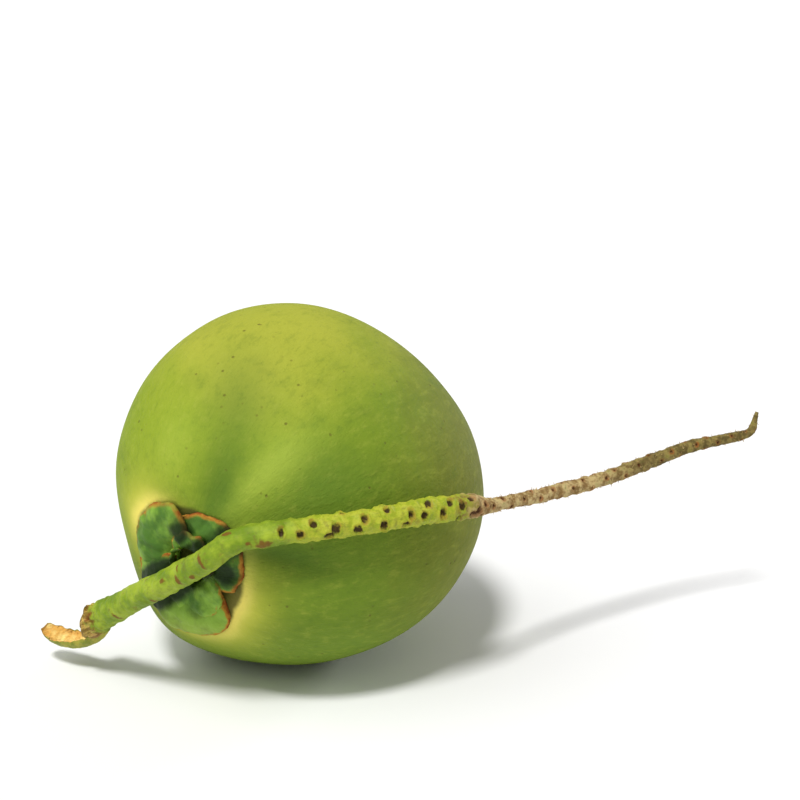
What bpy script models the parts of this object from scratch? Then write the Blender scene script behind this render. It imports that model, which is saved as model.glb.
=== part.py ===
"""A young green coconut as picked, lying on its side on a small flat spot.

The husk is one solid: nearly round, with soft ridges that start at the stem end, a
flattened stem face and a small flat spot underneath. Six tepals in two whorls of three
lie on the stem face, each with one edge over its neighbour. The fruiting stalk crosses
the tepals, holds the fruit by a short thick neck, and runs on round the fruit as a thin
dry tail. Its other end is a torn heel, where it came off the bunch.

The origin is the centre of the flat spot and +Z is up. +X runs along the tail.
"""

import math

import bmesh
import bpy
import numpy as np
from mathutils import Matrix, Vector

# Driving dimensions, in metres and degrees.
EQUATOR_RADIUS = 0.0886
HALF_LENGTH = 0.0922
APEX_SWELL = 0.03
CORNER_HEIGHT = 0.0035
CORNERS = 3
OVAL_HEIGHT = 0.0020
OVAL_TURN = -43.0
CENTRE = Vector((0.0062, -0.0050, 0.0861))
STEM_HEADING = 236.4
STEM_DIP = 7.8

# The stem end of the husk.
STEM_FACE = 0.0815
FACE_BLEND = 0.0016
NECK_HOLLOW = 0.0015
NECK_HOLLOW_ANGLE = 9.0
APEX_SCAR = 0.0020
APEX_SCAR_ANGLE = 5.0

# Swellings round the stem face (and one furrow, with a minus sign): angle, height, width.
RIDGES = (
    (52.0, 0.0023, 24.0),
    (155.0, 0.0033, 30.0),
    (241.0, 0.0062, 24.0),
    (330.0, 0.0014, 22.0),
    (8.0, -0.0022, 16.0),
)
RIDGE_PEAK = 46.0
RIDGE_REACH = 44.0

# The tepals: angle round the stem end and reach from its centre.
INNER_TEPALS = ((42.0, 0.0348), (166.0, 0.0350), (254.0, 0.0432))
OUTER_TEPALS = ((68.0, 0.0185), (188.0, 0.0130), (284.0, 0.0262))
TEPAL_THICKNESS = 0.0009
TEPAL_HOLE_RADIUS = 0.0085
TEPAL_BASE_HALF_ANGLE = 86.0
TEPAL_RIM_HALF_ANGLE = 60.0
TEPAL_CORNER = 0.28
INNER_LIFT = 0.0006
OUTER_LIFT = 0.0040
OVERLAP_STEP = 0.0015
NEIGHBOUR_ANGLE = 120.0

# The stalk's route: x, y, z and radius, in millimetres, from the heel to the tip.
STALK_ROUTE = (
    (-96.4, -37.2, 26.6, 6.6),
    (-91.5, -41.0, 31.4, 7.3),
    (-85.2, -46.8, 37.2, 6.9),
    (-67.6, -63.7, 53.4, 6.4),
    (-48.4, -81.2, 70.0, 6.1),
    (-29.6, -96.6, 86.4, 5.8),
    (-21.0, -99.5, 94.3, 5.8),
    (-13.0, -101.5, 98.9, 5.8),
    (-3.9, -102.0, 101.2, 5.7),
    (17.5, -100.0, 102.8, 5.5),
    (44.4, -91.7, 103.6, 5.7),
    (65.5, -80.0, 102.9, 5.9),
    (87.0, -64.0, 99.6, 5.9),
    (95.9, -55.2, 96.6, 4.9),
    (100.1, -50.4, 95.1, 3.5),
    (113.5, -37.4, 92.4, 3.3),
    (131.8, -20.4, 90.1, 3.5),
    (158.4, -0.4, 89.6, 3.6),
    (185.4, 15.6, 93.6, 3.5),
    (207.0, 25.6, 98.2, 3.1),
    (231.5, 34.6, 100.1, 2.5),
    (239.9, 37.6, 102.4, 2.1),
    (243.3, 40.6, 111.8, 0.9),
)
HEEL_ROUTE = (
    (-84.6, -44.6, 31.2, 3.8),
    (-91.5, -39.0, 23.0, 4.4),
    (-98.4, -34.0, 18.0, 4.6),
    (-105.1, -30.0, 15.4, 4.6),
    (-111.8, -26.0, 14.6, 4.4),
    (-117.3, -23.0, 15.6, 3.6),
    (-121.1, -21.0, 17.4, 2.2),
)
NECK_BASE_RADIUS = 0.0074
NECK_TOP_RADIUS = 0.0052
NECK_TOP = 0.0950
CLEARANCE = 0.0004

# How finely the shapes are cut.
HUSK_SEGMENTS = 48
HUSK_RINGS = 28
TEPAL_CELLS_ROUND = 14
TEPAL_CELLS_OUT = 6
STALK_STEPS = 2
NECK_SEGMENTS = 16
MILLIMETRE = 0.001


def stem_axes():
    """The fruit's own axes as matrix columns: two across the stem end, then the stem axis."""
    heading = math.radians(STEM_HEADING)
    dip = math.radians(STEM_DIP)
    level = math.cos(dip)
    axis = Vector((level * math.cos(heading), level * math.sin(heading), -math.sin(dip)))
    across = Vector((1.0, 0.0, 0.0))
    across = (across - across.dot(axis) * axis).normalized()
    return Matrix((across, axis.cross(across), axis)).transposed()


AXES = stem_axes()


def husk_radius(polar, turn):
    """Distance from the centre to the husk, polar from the stem end and turn round it."""
    along = math.cos(polar)
    across = math.sin(polar)
    radius = 1.0 / math.hypot(along / HALF_LENGTH, across / EQUATOR_RADIUS)
    radius *= 1.0 - APEX_SWELL * along
    oval = math.cos(2.0 * (turn - math.radians(OVAL_TURN)))
    corners = math.cos(CORNERS * turn)
    radius += (CORNER_HEIGHT * corners + OVAL_HEIGHT * oval) * across * across
    spread = (math.degrees(polar) - RIDGE_PEAK) / RIDGE_REACH
    fade = across * math.exp(-spread * spread)
    for angle, height, width in RIDGES:
        away = (math.degrees(turn) - angle + 180.0) % 360.0 - 180.0
        radius += height * fade * math.exp(-((away / width) ** 2))
    if along > 0.2:
        face = STEM_FACE / along
        flat = math.exp((radius - face) / FACE_BLEND)
        radius -= FACE_BLEND * math.log1p(flat)
    radius -= NECK_HOLLOW * math.exp(-((math.degrees(polar) / NECK_HOLLOW_ANGLE) ** 2))
    from_apex = (180.0 - math.degrees(polar)) / APEX_SCAR_ANGLE
    return radius + APEX_SCAR * math.exp(-from_apex * from_apex)


def on_husk(polar, turn, lift=0.0):
    """The point that lies lift above the husk in this direction."""
    direction = Vector((
        math.sin(polar) * math.cos(turn),
        math.sin(polar) * math.sin(turn),
        math.cos(polar),
    ))
    return CENTRE + AXES @ (direction * (husk_radius(polar, turn) + lift))


def clear_scene():
    for old in list(bpy.data.objects):
        bpy.data.objects.remove(old, do_unlink=True)


def new_collection(name):
    collection = bpy.data.collections.new(name)
    bpy.context.scene.collection.children.link(collection)
    return collection


def make_material(name, colour, roughness):
    material = bpy.data.materials.new(name)
    material.use_nodes = True
    shader = material.node_tree.nodes["Principled BSDF"]
    shader.inputs["Base Color"].default_value = (*colour, 1.0)
    shader.inputs["Roughness"].default_value = roughness
    shader.inputs["Metallic"].default_value = 0.0
    return material


def add_object(name, mesh, collection, material=None):
    obj = bpy.data.objects.new(name, mesh)
    collection.objects.link(obj)
    if material is not None:
        mesh.materials.append(material)
        mesh.shade_smooth()
    return obj


def mesh_from(bm, name):
    mesh = bpy.data.meshes.new(name)
    bm.to_mesh(mesh)
    bm.free()
    return mesh


def add_boolean(target, other, operation):
    modifier = target.modifiers.new(operation.title(), "BOOLEAN")
    modifier.operation = operation
    modifier.solver = "EXACT"
    modifier.object = other


def add_helper(name, mesh, collection):
    """An object that only shapes another one."""
    helper = add_object(name, mesh, collection)
    helper.hide_render = True
    helper.display_type = "WIRE"
    return helper


def build_husk(collection, helpers, material):
    """A sphere with its poles on the stem axis, drawn out to the husk and cut flat below."""
    bm = bmesh.new()
    bmesh.ops.create_uvsphere(bm, u_segments=HUSK_SEGMENTS, v_segments=HUSK_RINGS, radius=1.0)
    for vertex in bm.verts:
        polar = math.acos(max(-1.0, min(1.0, vertex.co.z)))
        vertex.co = on_husk(polar, math.atan2(vertex.co.y, vertex.co.x))
    husk = add_object("coconut_fruit", mesh_from(bm, "coconut_fruit"), collection, material)
    block = 4.0 * EQUATOR_RADIUS
    bm = bmesh.new()
    bmesh.ops.create_cube(bm, size=block)
    bmesh.ops.translate(bm, verts=bm.verts, vec=(0.0, 0.0, -block / 2.0))
    floor = add_helper("floor_cutter", mesh_from(bm, "floor_cutter"), helpers)
    add_boolean(husk, floor, "DIFFERENCE")


def tepal_point(u, v, angle, reach, base_lift):
    """A point of a tepal: u from edge to edge, v from the neck hole to the rim."""
    half_angle = TEPAL_BASE_HALF_ANGLE + (TEPAL_RIM_HALF_ANGLE - TEPAL_BASE_HALF_ANGLE) * v
    away = u * half_angle
    rim = TEPAL_HOLE_RADIUS + (reach - TEPAL_HOLE_RADIUS) * (1.0 - TEPAL_CORNER * u ** 4)
    distance = TEPAL_HOLE_RADIUS + (rim - TEPAL_HOLE_RADIUS) * v
    slope = OVERLAP_STEP / NEIGHBOUR_ANGLE
    lift = base_lift + slope * (TEPAL_BASE_HALF_ANGLE - away)
    return on_husk(math.atan2(distance, STEM_FACE), math.radians(angle + away), lift)


def build_tepal(name, angle, reach, base_lift, collection, material):
    """A curved sheet with its low-angle edge raised over its neighbour, made thick."""
    bm = bmesh.new()
    bmesh.ops.create_grid(
        bm, x_segments=TEPAL_CELLS_ROUND, y_segments=TEPAL_CELLS_OUT, size=1.0
    )
    for vertex in bm.verts:
        u = -vertex.co.x
        v = (vertex.co.y + 1.0) / 2.0
        vertex.co = tepal_point(u, v, angle, reach, base_lift)
    tepal = add_object(name, mesh_from(bm, name), collection, material)
    solidify = tepal.modifiers.new("Thickness", "SOLIDIFY")
    solidify.thickness = TEPAL_THICKNESS
    solidify.offset = 1.0


def smooth_route(route, steps):
    """Points of a Catmull-Rom curve through the route, in metres, with radii in millimetres."""
    points = np.array(route)
    ends = (2 * points[0] - points[1], 2 * points[-1] - points[-2])
    points = np.vstack([ends[0], points, ends[1]])
    smooth = []
    for before, start, end, after in zip(points, points[1:], points[2:], points[3:]):
        for t in np.arange(steps) / steps:
            smooth.append(0.5 * (
                2 * start
                + (end - before) * t
                + (2 * before - 5 * start + 4 * end - after) * t ** 2
                + (3 * start - before - 3 * end + after) * t ** 3
            ))
    smooth.append(points[-2])
    smooth = np.array(smooth)
    smooth[:, :3] *= MILLIMETRE
    return smooth


def tube(name, route, steps, collection, material=None):
    """A round stem of changing thickness along the route, as a closed mesh."""
    points = smooth_route(route, steps)
    curve = bpy.data.curves.new(name + "_curve", "CURVE")
    curve.dimensions = "3D"
    curve.bevel_depth = MILLIMETRE
    curve.bevel_resolution = 3
    curve.use_fill_caps = True
    spline = curve.splines.new("POLY")
    spline.points.add(len(points) - 1)
    for point, (x, y, z, radius) in zip(spline.points, points):
        point.co = (x, y, z, 1.0)
        point.radius = radius
    guide = bpy.data.objects.new(name + "_curve", curve)
    collection.objects.link(guide)
    bpy.context.view_layer.update()
    graph = bpy.context.evaluated_depsgraph_get()
    mesh = bpy.data.meshes.new_from_object(guide.evaluated_get(graph))
    mesh.name = name
    bm = bmesh.new()
    bm.from_mesh(mesh)
    bmesh.ops.remove_doubles(bm, verts=bm.verts, dist=1e-6)
    bmesh.ops.recalc_face_normals(bm, faces=bm.faces)
    bm.to_mesh(mesh)
    bm.free()
    obj = add_object(name, mesh, collection, material)
    obj.matrix_world = guide.matrix_world
    bpy.data.objects.remove(guide, do_unlink=True)
    return obj


def build_stalk(collection, helpers, material):
    """The stem from heel to tip, joined to its torn heel and to the neck of the fruit."""
    stalk = tube("fruit_stalk", STALK_ROUTE, STALK_STEPS, collection, material)
    heel = tube("torn_heel", HEEL_ROUTE, STALK_STEPS, helpers)
    heel.hide_render = True
    heel.display_type = "WIRE"
    rim_angle = math.atan2(NECK_BASE_RADIUS, STEM_FACE)
    neck_base = husk_radius(rim_angle, 0.0) * math.cos(rim_angle) + CLEARANCE
    bm = bmesh.new()
    bmesh.ops.create_cone(
        bm,
        cap_ends=True,
        segments=NECK_SEGMENTS,
        radius1=NECK_BASE_RADIUS,
        radius2=NECK_TOP_RADIUS,
        depth=NECK_TOP - neck_base,
    )
    place = Matrix.Translation(CENTRE + AXES.col[2] * (neck_base + NECK_TOP) / 2.0)
    bmesh.ops.transform(bm, matrix=place @ AXES.to_4x4(), verts=bm.verts)
    neck = add_helper("fruit_neck", mesh_from(bm, "fruit_neck"), helpers)
    add_boolean(stalk, heel, "UNION")
    add_boolean(stalk, neck, "UNION")


def main():
    clear_scene()
    parts = new_collection("green_coconut")
    helpers = new_collection("cutters")
    green_husk = make_material("green_husk", (0.36, 0.46, 0.09), 0.42)
    green_tepal = make_material("green_tepal", (0.12, 0.22, 0.05), 0.5)
    green_stalk = make_material("green_stalk", (0.42, 0.50, 0.08), 0.55)
    build_husk(parts, helpers, green_husk)
    for number, (angle, reach) in enumerate(INNER_TEPALS, start=1):
        build_tepal(f"inner_tepal_{number}", angle, reach, INNER_LIFT, parts, green_tepal)
    for number, (angle, reach) in enumerate(OUTER_TEPALS, start=1):
        build_tepal(f"outer_tepal_{number}", angle, reach, OUTER_LIFT, parts, green_tepal)
    build_stalk(parts, helpers, green_stalk)


main()
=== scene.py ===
# %% [markdown]
# # A young green coconut, with its calyx and its fruiting stalk
# The fruit lies on its side as it was picked. Six fleshy tepals hug its stem end. A pitted
# stalk crosses them, holds the fruit by a short neck and runs on as a thin dry tail.
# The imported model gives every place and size. This lesson gives each piece its real
# surface, and then a finish made only of nodes.

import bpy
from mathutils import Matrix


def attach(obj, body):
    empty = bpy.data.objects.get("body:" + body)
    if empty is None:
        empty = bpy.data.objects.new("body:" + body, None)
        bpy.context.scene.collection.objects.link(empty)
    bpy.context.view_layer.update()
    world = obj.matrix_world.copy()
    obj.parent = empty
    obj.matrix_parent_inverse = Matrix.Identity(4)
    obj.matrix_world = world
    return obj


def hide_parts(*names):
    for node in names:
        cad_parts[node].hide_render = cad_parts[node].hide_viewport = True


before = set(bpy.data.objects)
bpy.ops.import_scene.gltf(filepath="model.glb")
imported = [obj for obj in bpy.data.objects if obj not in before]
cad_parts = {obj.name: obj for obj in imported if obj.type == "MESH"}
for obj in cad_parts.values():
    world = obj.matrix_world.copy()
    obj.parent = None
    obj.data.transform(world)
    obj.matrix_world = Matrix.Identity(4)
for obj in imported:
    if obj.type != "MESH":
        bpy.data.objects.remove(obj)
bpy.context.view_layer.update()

# %% Tools
import math

import bmesh
import bpy
import numpy as np
from mathutils import Matrix, Vector, noise

MM = 0.001

# %% [markdown]
# ## The shape of the husk
# A coconut is nearly a sphere, but three soft corners run from the stem end, the stem face
# is flattened, and a few swellings and a furrow start there. A sphere with its poles on
# the stem axis, drawn out by one rule for the radius, keeps all of that in a few numbers.
# It is the same rule as in the CAD part, so the fine husk lies on the CAD one. A little
# slow unevenness is added, because no fruit is as regular as a formula.

# %% The rule for the radius
EQUATOR_RADIUS = 0.0886
HALF_LENGTH = 0.0922
APEX_SWELL = 0.03
CORNER_HEIGHT = 0.0035
CORNERS = 3
OVAL_HEIGHT = 0.0020
OVAL_TURN = -43.0
CENTRE = Vector((0.0062, -0.0050, 0.0861))
STEM_HEADING = 236.4
STEM_DIP = 7.8
STEM_FACE = 0.0815
FACE_BLEND = 0.0016
NECK_HOLLOW = 0.0015
NECK_HOLLOW_ANGLE = 9.0
APEX_SCAR = 0.0020
APEX_SCAR_ANGLE = 5.0
RIDGES = (
    (52.0, 0.0023, 24.0),
    (155.0, 0.0033, 30.0),
    (241.0, 0.0062, 24.0),
    (330.0, 0.0014, 22.0),
    (8.0, -0.0022, 16.0),
)
RIDGE_PEAK = 46.0
RIDGE_REACH = 44.0


def stem_axes():
    """The fruit's own axes as matrix columns: two across the stem end, then the stem axis."""
    heading = math.radians(STEM_HEADING)
    dip = math.radians(STEM_DIP)
    level = math.cos(dip)
    axis = Vector((level * math.cos(heading), level * math.sin(heading), -math.sin(dip)))
    across = Vector((1.0, 0.0, 0.0))
    across = (across - across.dot(axis) * axis).normalized()
    return Matrix((across, axis.cross(across), axis)).transposed()


AXES = stem_axes()


def bell(value, middle, width):
    """One at the middle, fading to nothing a couple of widths away."""
    return np.exp(-(((value - middle) / width) ** 2))


def angle_between(turn, other):
    """Degrees from one direction round the stem to another, between -180 and 180."""
    return (turn - other + 180.0) % 360.0 - 180.0


def husk_radius(polar, turn):
    """Distance from the centre to the husk, for arrays of angles in radians."""
    along = np.cos(polar)
    across = np.sin(polar)
    radius = 1.0 / np.hypot(along / HALF_LENGTH, across / EQUATOR_RADIUS)
    radius *= 1.0 - APEX_SWELL * along
    oval = np.cos(2.0 * (turn - math.radians(OVAL_TURN)))
    corners = np.cos(CORNERS * turn)
    radius += (CORNER_HEIGHT * corners + OVAL_HEIGHT * oval) * across * across
    fade = across * bell(np.degrees(polar), RIDGE_PEAK, RIDGE_REACH)
    for angle, height, width in RIDGES:
        radius += height * fade * bell(angle_between(np.degrees(turn), angle), 0.0, width)
    face = STEM_FACE / np.maximum(along, 0.2)
    flat = FACE_BLEND * np.log1p(np.exp(np.clip((radius - face) / FACE_BLEND, -30.0, 30.0)))
    radius = np.where(along > 0.2, radius - flat, radius)
    radius -= NECK_HOLLOW * bell(np.degrees(polar), 0.0, NECK_HOLLOW_ANGLE)
    return radius + APEX_SCAR * bell(np.degrees(polar), 180.0, APEX_SCAR_ANGLE)


def on_husk(polar, turn, lift):
    """The points that lie lift above the husk in these directions, one row each."""
    outward = np.stack([np.sin(polar) * np.cos(turn), np.sin(polar) * np.sin(turn), np.cos(polar)], axis=-1)
    distance = husk_radius(polar, turn) + lift
    return np.array(CENTRE) + (outward * distance[..., None]) @ np.array(AXES).T


# %% [markdown]
# ## Meshes made from arrays
# Moving thousands of points one by one is slow, so the points of a mesh go into an array,
# one rule moves them all, and they go back. Numbers stored on the points, such as the
# distance from a margin, let a material follow the shape later.


# %% Helpers for meshes
def give_numbers(mesh, name, values):
    """Stores one number for each point of the mesh, for a material to read."""
    attribute = mesh.attributes.new(name, "FLOAT", "POINT")
    attribute.data.foreach_set("value", np.asarray(values, dtype=np.float32).ravel())


def numbers_of(mesh, name):
    """The numbers that the mesh stores under this name, one for each point."""
    values = np.zeros(len(mesh.vertices), dtype=np.float32)
    mesh.attributes[name].data.foreach_get("value", values)
    return values


def points_of(mesh):
    points = np.empty(len(mesh.vertices) * 3, dtype=np.float32)
    mesh.vertices.foreach_get("co", points)
    return points.reshape(-1, 3).astype(float)


def move_points(mesh, points):
    mesh.vertices.foreach_set("co", np.asarray(points, dtype=np.float32).ravel())
    mesh.update()


def show(name, mesh, material, node):
    """Puts a finished mesh in the scene as one smooth piece in place of a CAD node."""
    piece = bpy.data.objects.new(name, mesh)
    bpy.context.scene.collection.objects.link(piece)
    mesh.materials.clear()
    mesh.materials.append(material)
    mesh.shade_smooth()
    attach(piece, "root")
    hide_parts(node)


def uneven(points, size, height, seed):
    """A slow random height for each point, from noise whose lumps are about this size."""
    shift = Vector((seed * 3.7, seed * 1.9, seed * 5.3))
    return np.array([height * noise.noise(Vector(point) / size + shift) for point in points])


def roughness_of(points, layers, seed):
    """Several layers of unevenness, each with its size, its height and a step of the seed."""
    return sum(uneven(points, size, height, seed + step) for size, height, step in layers)


# %% [markdown]
# ## Shader maths
# A material is a sum of masks and colours. Wiring every Math node by hand hides that sum,
# so a small class wraps one socket and lets it stand in ordinary Python expressions.
# Colours never pass through Math nodes, which would turn them grey.


# %% Wires that can be added and multiplied
class Wire:
    """One output in a node tree, which can stand in a sum as a number does."""

    def __init__(self, tree, socket=None):
        self.tree = tree
        self.socket = socket

    def node(self, kind, settings=None, inputs=None, output=0):
        """Adds a node: first its settings, then a value or a wire for each input."""
        made = self.tree.nodes.new(kind)
        for name, value in (settings or {}).items():
            setattr(made, name, value)
        for name, value in (inputs or {}).items():
            connect(self.tree, value, made.inputs[name])
        return Wire(self.tree, made.outputs[output])

    def math(self, operation, first, second=0.0):
        return self.node("ShaderNodeMath", {"operation": operation}, {0: first, 1: second})

    def __add__(self, other):
        return self.math("ADD", self, other)

    def __radd__(self, other):
        return self.math("ADD", other, self)

    def __sub__(self, other):
        return self.math("SUBTRACT", self, other)

    def __rsub__(self, other):
        return self.math("SUBTRACT", other, self)

    def __mul__(self, other):
        return self.math("MULTIPLY", self, other)

    def __rmul__(self, other):
        return self.math("MULTIPLY", other, self)

    def __truediv__(self, other):
        return self.math("DIVIDE", self, other)

    def __rtruediv__(self, other):
        return self.math("DIVIDE", other, self)


# %% Link or set a socket
def connect(tree, value, socket):
    if isinstance(value, Wire):
        tree.links.new(value.socket, socket)
    elif socket.type == "RGBA":
        socket.default_value = (*value, 1.0)
    else:
        socket.default_value = value


# %% Masks, blends and noise
def root(value):
    return value.math("SQRT", value)


def climb(value, low, high):
    """0 below low, 1 above high and smooth between."""
    settings = {"interpolation_type": "SMOOTHSTEP"}
    return value.node("ShaderNodeMapRange", settings, {0: value, 1: low, 2: high, 3: 0.0, 4: 1.0})


def hump(value, middle, width):
    """One at the middle, fading to nothing a couple of widths away."""
    away = (value - middle) / width
    return value.math("EXPONENT", away * away * -1.0)


def blend(factor, first, second):
    """A colour between two colours."""
    settings = {"data_type": "RGBA", "clamp_factor": True}
    return factor.node("ShaderNodeMix", settings, {0: factor, 6: first, 7: second}, 2)


def grain(place, scale, detail=3.0, roughness=0.5, distortion=0.0):
    """Noise between 0 and 1, with this many lumps to the metre."""
    inputs = {
        "Vector": place,
        "Scale": scale,
        "Detail": detail,
        "Roughness": roughness,
        "Distortion": distortion,
    }
    return place.node("ShaderNodeTexNoise", {}, inputs)


def part_of(place, axis):
    """One coordinate of a place: 0, 1 or 2."""
    return place.node("ShaderNodeSeparateXYZ", {}, {0: place}, axis)


def stretch(place, factors):
    return place.node("ShaderNodeVectorMath", {"operation": "MULTIPLY"}, {0: place, 1: factors})


def stored(tree, name, output="Fac"):
    """What the mesh stores under this name: Fac for a number, Vector for a direction."""
    return Wire(tree).node("ShaderNodeAttribute", {"attribute_name": name}, {}, output)


# %% Start and finish a material
def srgb(red, green, blue):
    """A colour as paint charts give it, turned into light."""
    values = np.array([red, green, blue]) / 255.0
    light = np.where(values <= 0.04045, values / 12.92, ((values + 0.055) / 1.055) ** 2.4)
    return tuple(float(value) for value in light)


def start_material(name):
    """A new material with its tree, its shader and Object coordinates."""
    material = bpy.data.materials.new(name)
    material.use_nodes = True
    tree = material.node_tree
    shader = tree.nodes["Principled BSDF"]
    place = Wire(tree).node("ShaderNodeTexCoord", {}, {}, "Object")
    return material, tree, shader, place


def finish_material(tree, shader, colour, roughness, height, depth):
    """Wires the varying colour, roughness and bump height into the shader."""
    bump = height.node("ShaderNodeBump", {}, {"Strength": 1.0, "Distance": depth, "Height": height})
    connect(tree, colour, shader.inputs["Base Color"])
    connect(tree, roughness, shader.inputs["Roughness"])
    connect(tree, bump, shader.inputs["Normal"])


# %% [markdown]
# ## The tepals' outline
# The calyx of a coconut has two whorls of three. The large inner ones reach well past the
# small outer ones, and each has one edge over its neighbour. Their outline is needed
# before the husk, because the skin stays pale where a tepal shaded it.

# %% Sizes of the tepals
# Angle round the stem end, reach, and how much and how fast the rim falls back to the sides.
INNER_TEPALS = (
    ("inner_tepal_1", 42.0, 0.0348, 0.40, 1.3),
    ("inner_tepal_2", 166.0, 0.0350, 0.20, 2.2),
    ("inner_tepal_3", 252.0, 0.0436, 0.33, 1.5),
)
OUTER_TEPALS = (
    ("outer_tepal_1", 68.0, 0.0185, 0.42, 2.2),
    ("outer_tepal_2", 188.0, 0.0112, 0.35, 2.5),
    ("outer_tepal_3", 284.0, 0.0262, 0.42, 1.7),
)
HOLE_RADIUS = 0.0085
RIM_HALF_ANGLE = 60.0
BASE_HALF_ANGLE = 86.0


def rim_distance(spread, reach, fall, power):
    """How far from the stem axis a tepal's rim is, where spread is -1 to 1 across it."""
    return HOLE_RADIUS + (reach - HOLE_RADIUS) * (1.0 - fall * np.abs(spread) ** power)


def calyx_rim(turn):
    """The outline of the whole calyx: the furthest rim in each direction, in metres."""
    rim = np.zeros_like(turn)
    for name, angle, reach, fall, power in INNER_TEPALS:
        spread = np.clip(angle_between(np.degrees(turn), angle) / RIM_HALF_ANGLE, -1.15, 1.15)
        rim = np.maximum(rim, rim_distance(spread, reach, fall, power))
    return rim


# %% [markdown]
# ## Furrows and pale sides
# The husk dips in soft furrows that start at the calyx, with fuller stretches between them,
# and it is pale where a tepal shaded it for long. Sculpting these by hand would tie them to
# one mesh. Each is a soft spot round the stem instead, one row of numbers. The same spots
# move the surface and tint it: painted shade in the furrows, painted light on the fuller
# stretches, and one spot that only paints shade on a slope facing away from the light.

# %% Lay out the soft spots
# Degrees round the stem, drift of that angle for each degree down, width, degrees down
# from the stem axis, spread, and strength.
VALLEY = (
    (71.5, 0.5, 14.0, 27.0, 14.0, 1.0),
    (85.0, 0.5, 14.0, 54.0, 20.0, 0.55),
)
# The groove under the stalk: its tint is painted shade, with painted shadow of the stalk.
LOW_FURROW = ((21.5, -0.75, 9.0, 29.0, 16.0, 1.0),)
# A spot that moves nothing and only paints shade on a slope facing away from the light.
PAINTED_SHADE_SPOT = ((39.0, 0.0, 14.0, 54.0, 17.0, 0.8),)
# The fuller stretches: they swell the surface, and the skin paints them lighter as painted light.
FULL_RIDGE = (
    (57.0, 0.0, 8.0, 44.0, 16.0, 1.0),
    (108.0, 0.0, 12.0, 38.0, 10.0, 0.6),
)
# Degrees round the stem, width and strength.
PALE_SIDES = (
    (-34.0, 42.0, 1.0),
    (-112.0, 36.0, 0.25),
    (148.0, 28.0, 0.95),
)


def soft_spots(rows, degrees, down):
    """The sum of some soft spots, for arrays of angles round and down from the stem."""
    total = np.zeros_like(down)
    for angle, drift, width, middle, spread, strength in rows:
        beside = angle_between(degrees, angle + drift * (down - middle))
        total += strength * bell(beside, 0.0, width) * bell(down, middle, spread)
    return total


# %% Build the husk
HUSK_SEGMENTS = 256
HUSK_RINGS = 160
LUMP_SIZE = 0.034
LUMP_HEIGHT = 0.00055
FURROW_DEPTH = 0.0022
RIDGE_SHARE = 0.3
RIM_FADE = 0.008
# Strength of the painted shade in the valleys and in the groove under the stalk.
VALLEY_PAINTED_SHADE = 1.3
LOW_FURROW_PAINTED_SHADE = 1.8


def build_husk():
    bm = bmesh.new()
    bmesh.ops.create_uvsphere(bm, u_segments=HUSK_SEGMENTS, v_segments=HUSK_RINGS, radius=1.0)
    mesh = bpy.data.meshes.new("husk")
    bm.to_mesh(mesh)
    bm.free()
    unit = points_of(mesh)
    polar = np.arccos(np.clip(unit[:, 2], -1.0, 1.0))
    turn = np.arctan2(unit[:, 1], unit[:, 0])
    from_axis = husk_radius(polar, turn) * np.sin(polar)
    past_rim = np.where(polar < math.pi / 2.0, from_axis - calyx_rim(turn), 1.0)
    degrees = np.degrees(turn)
    down = np.degrees(polar)
    valley = soft_spots(VALLEY, degrees, down)
    low_furrow = soft_spots(LOW_FURROW, degrees, down)
    painted_slope_shade = soft_spots(PAINTED_SHADE_SPOT, degrees, down)
    ridge_and_painted_light = soft_spots(FULL_RIDGE, degrees, down)
    outside = np.clip(past_rim / RIM_FADE, 0.0, 1.0)
    lift = uneven(unit * EQUATOR_RADIUS, LUMP_SIZE, LUMP_HEIGHT, 1.0)
    lift -= FURROW_DEPTH * outside * (valley + low_furrow - RIDGE_SHARE * ridge_and_painted_light)
    points = on_husk(polar, turn, lift)
    points[:, 2] = np.maximum(points[:, 2], 0.0)
    move_points(mesh, points)
    pale = np.zeros_like(down)
    for angle, width, strength in PALE_SIDES:
        pale += strength * bell(angle_between(degrees, angle), 0.0, width)
    give_numbers(mesh, "past_rim", past_rim)
    give_numbers(mesh, "pale", pale)
    # Painted shade for the furrows and painted light for the fuller stretches, stored for the skin.
    give_numbers(mesh, "painted_furrow_shade", VALLEY_PAINTED_SHADE * valley + LOW_FURROW_PAINTED_SHADE * low_furrow + painted_slope_shade)
    give_numbers(mesh, "ridge_and_painted_light", ridge_and_painted_light)
    return mesh


husk_mesh = build_husk()
print("husk:", len(husk_mesh.polygons), "faces")
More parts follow.
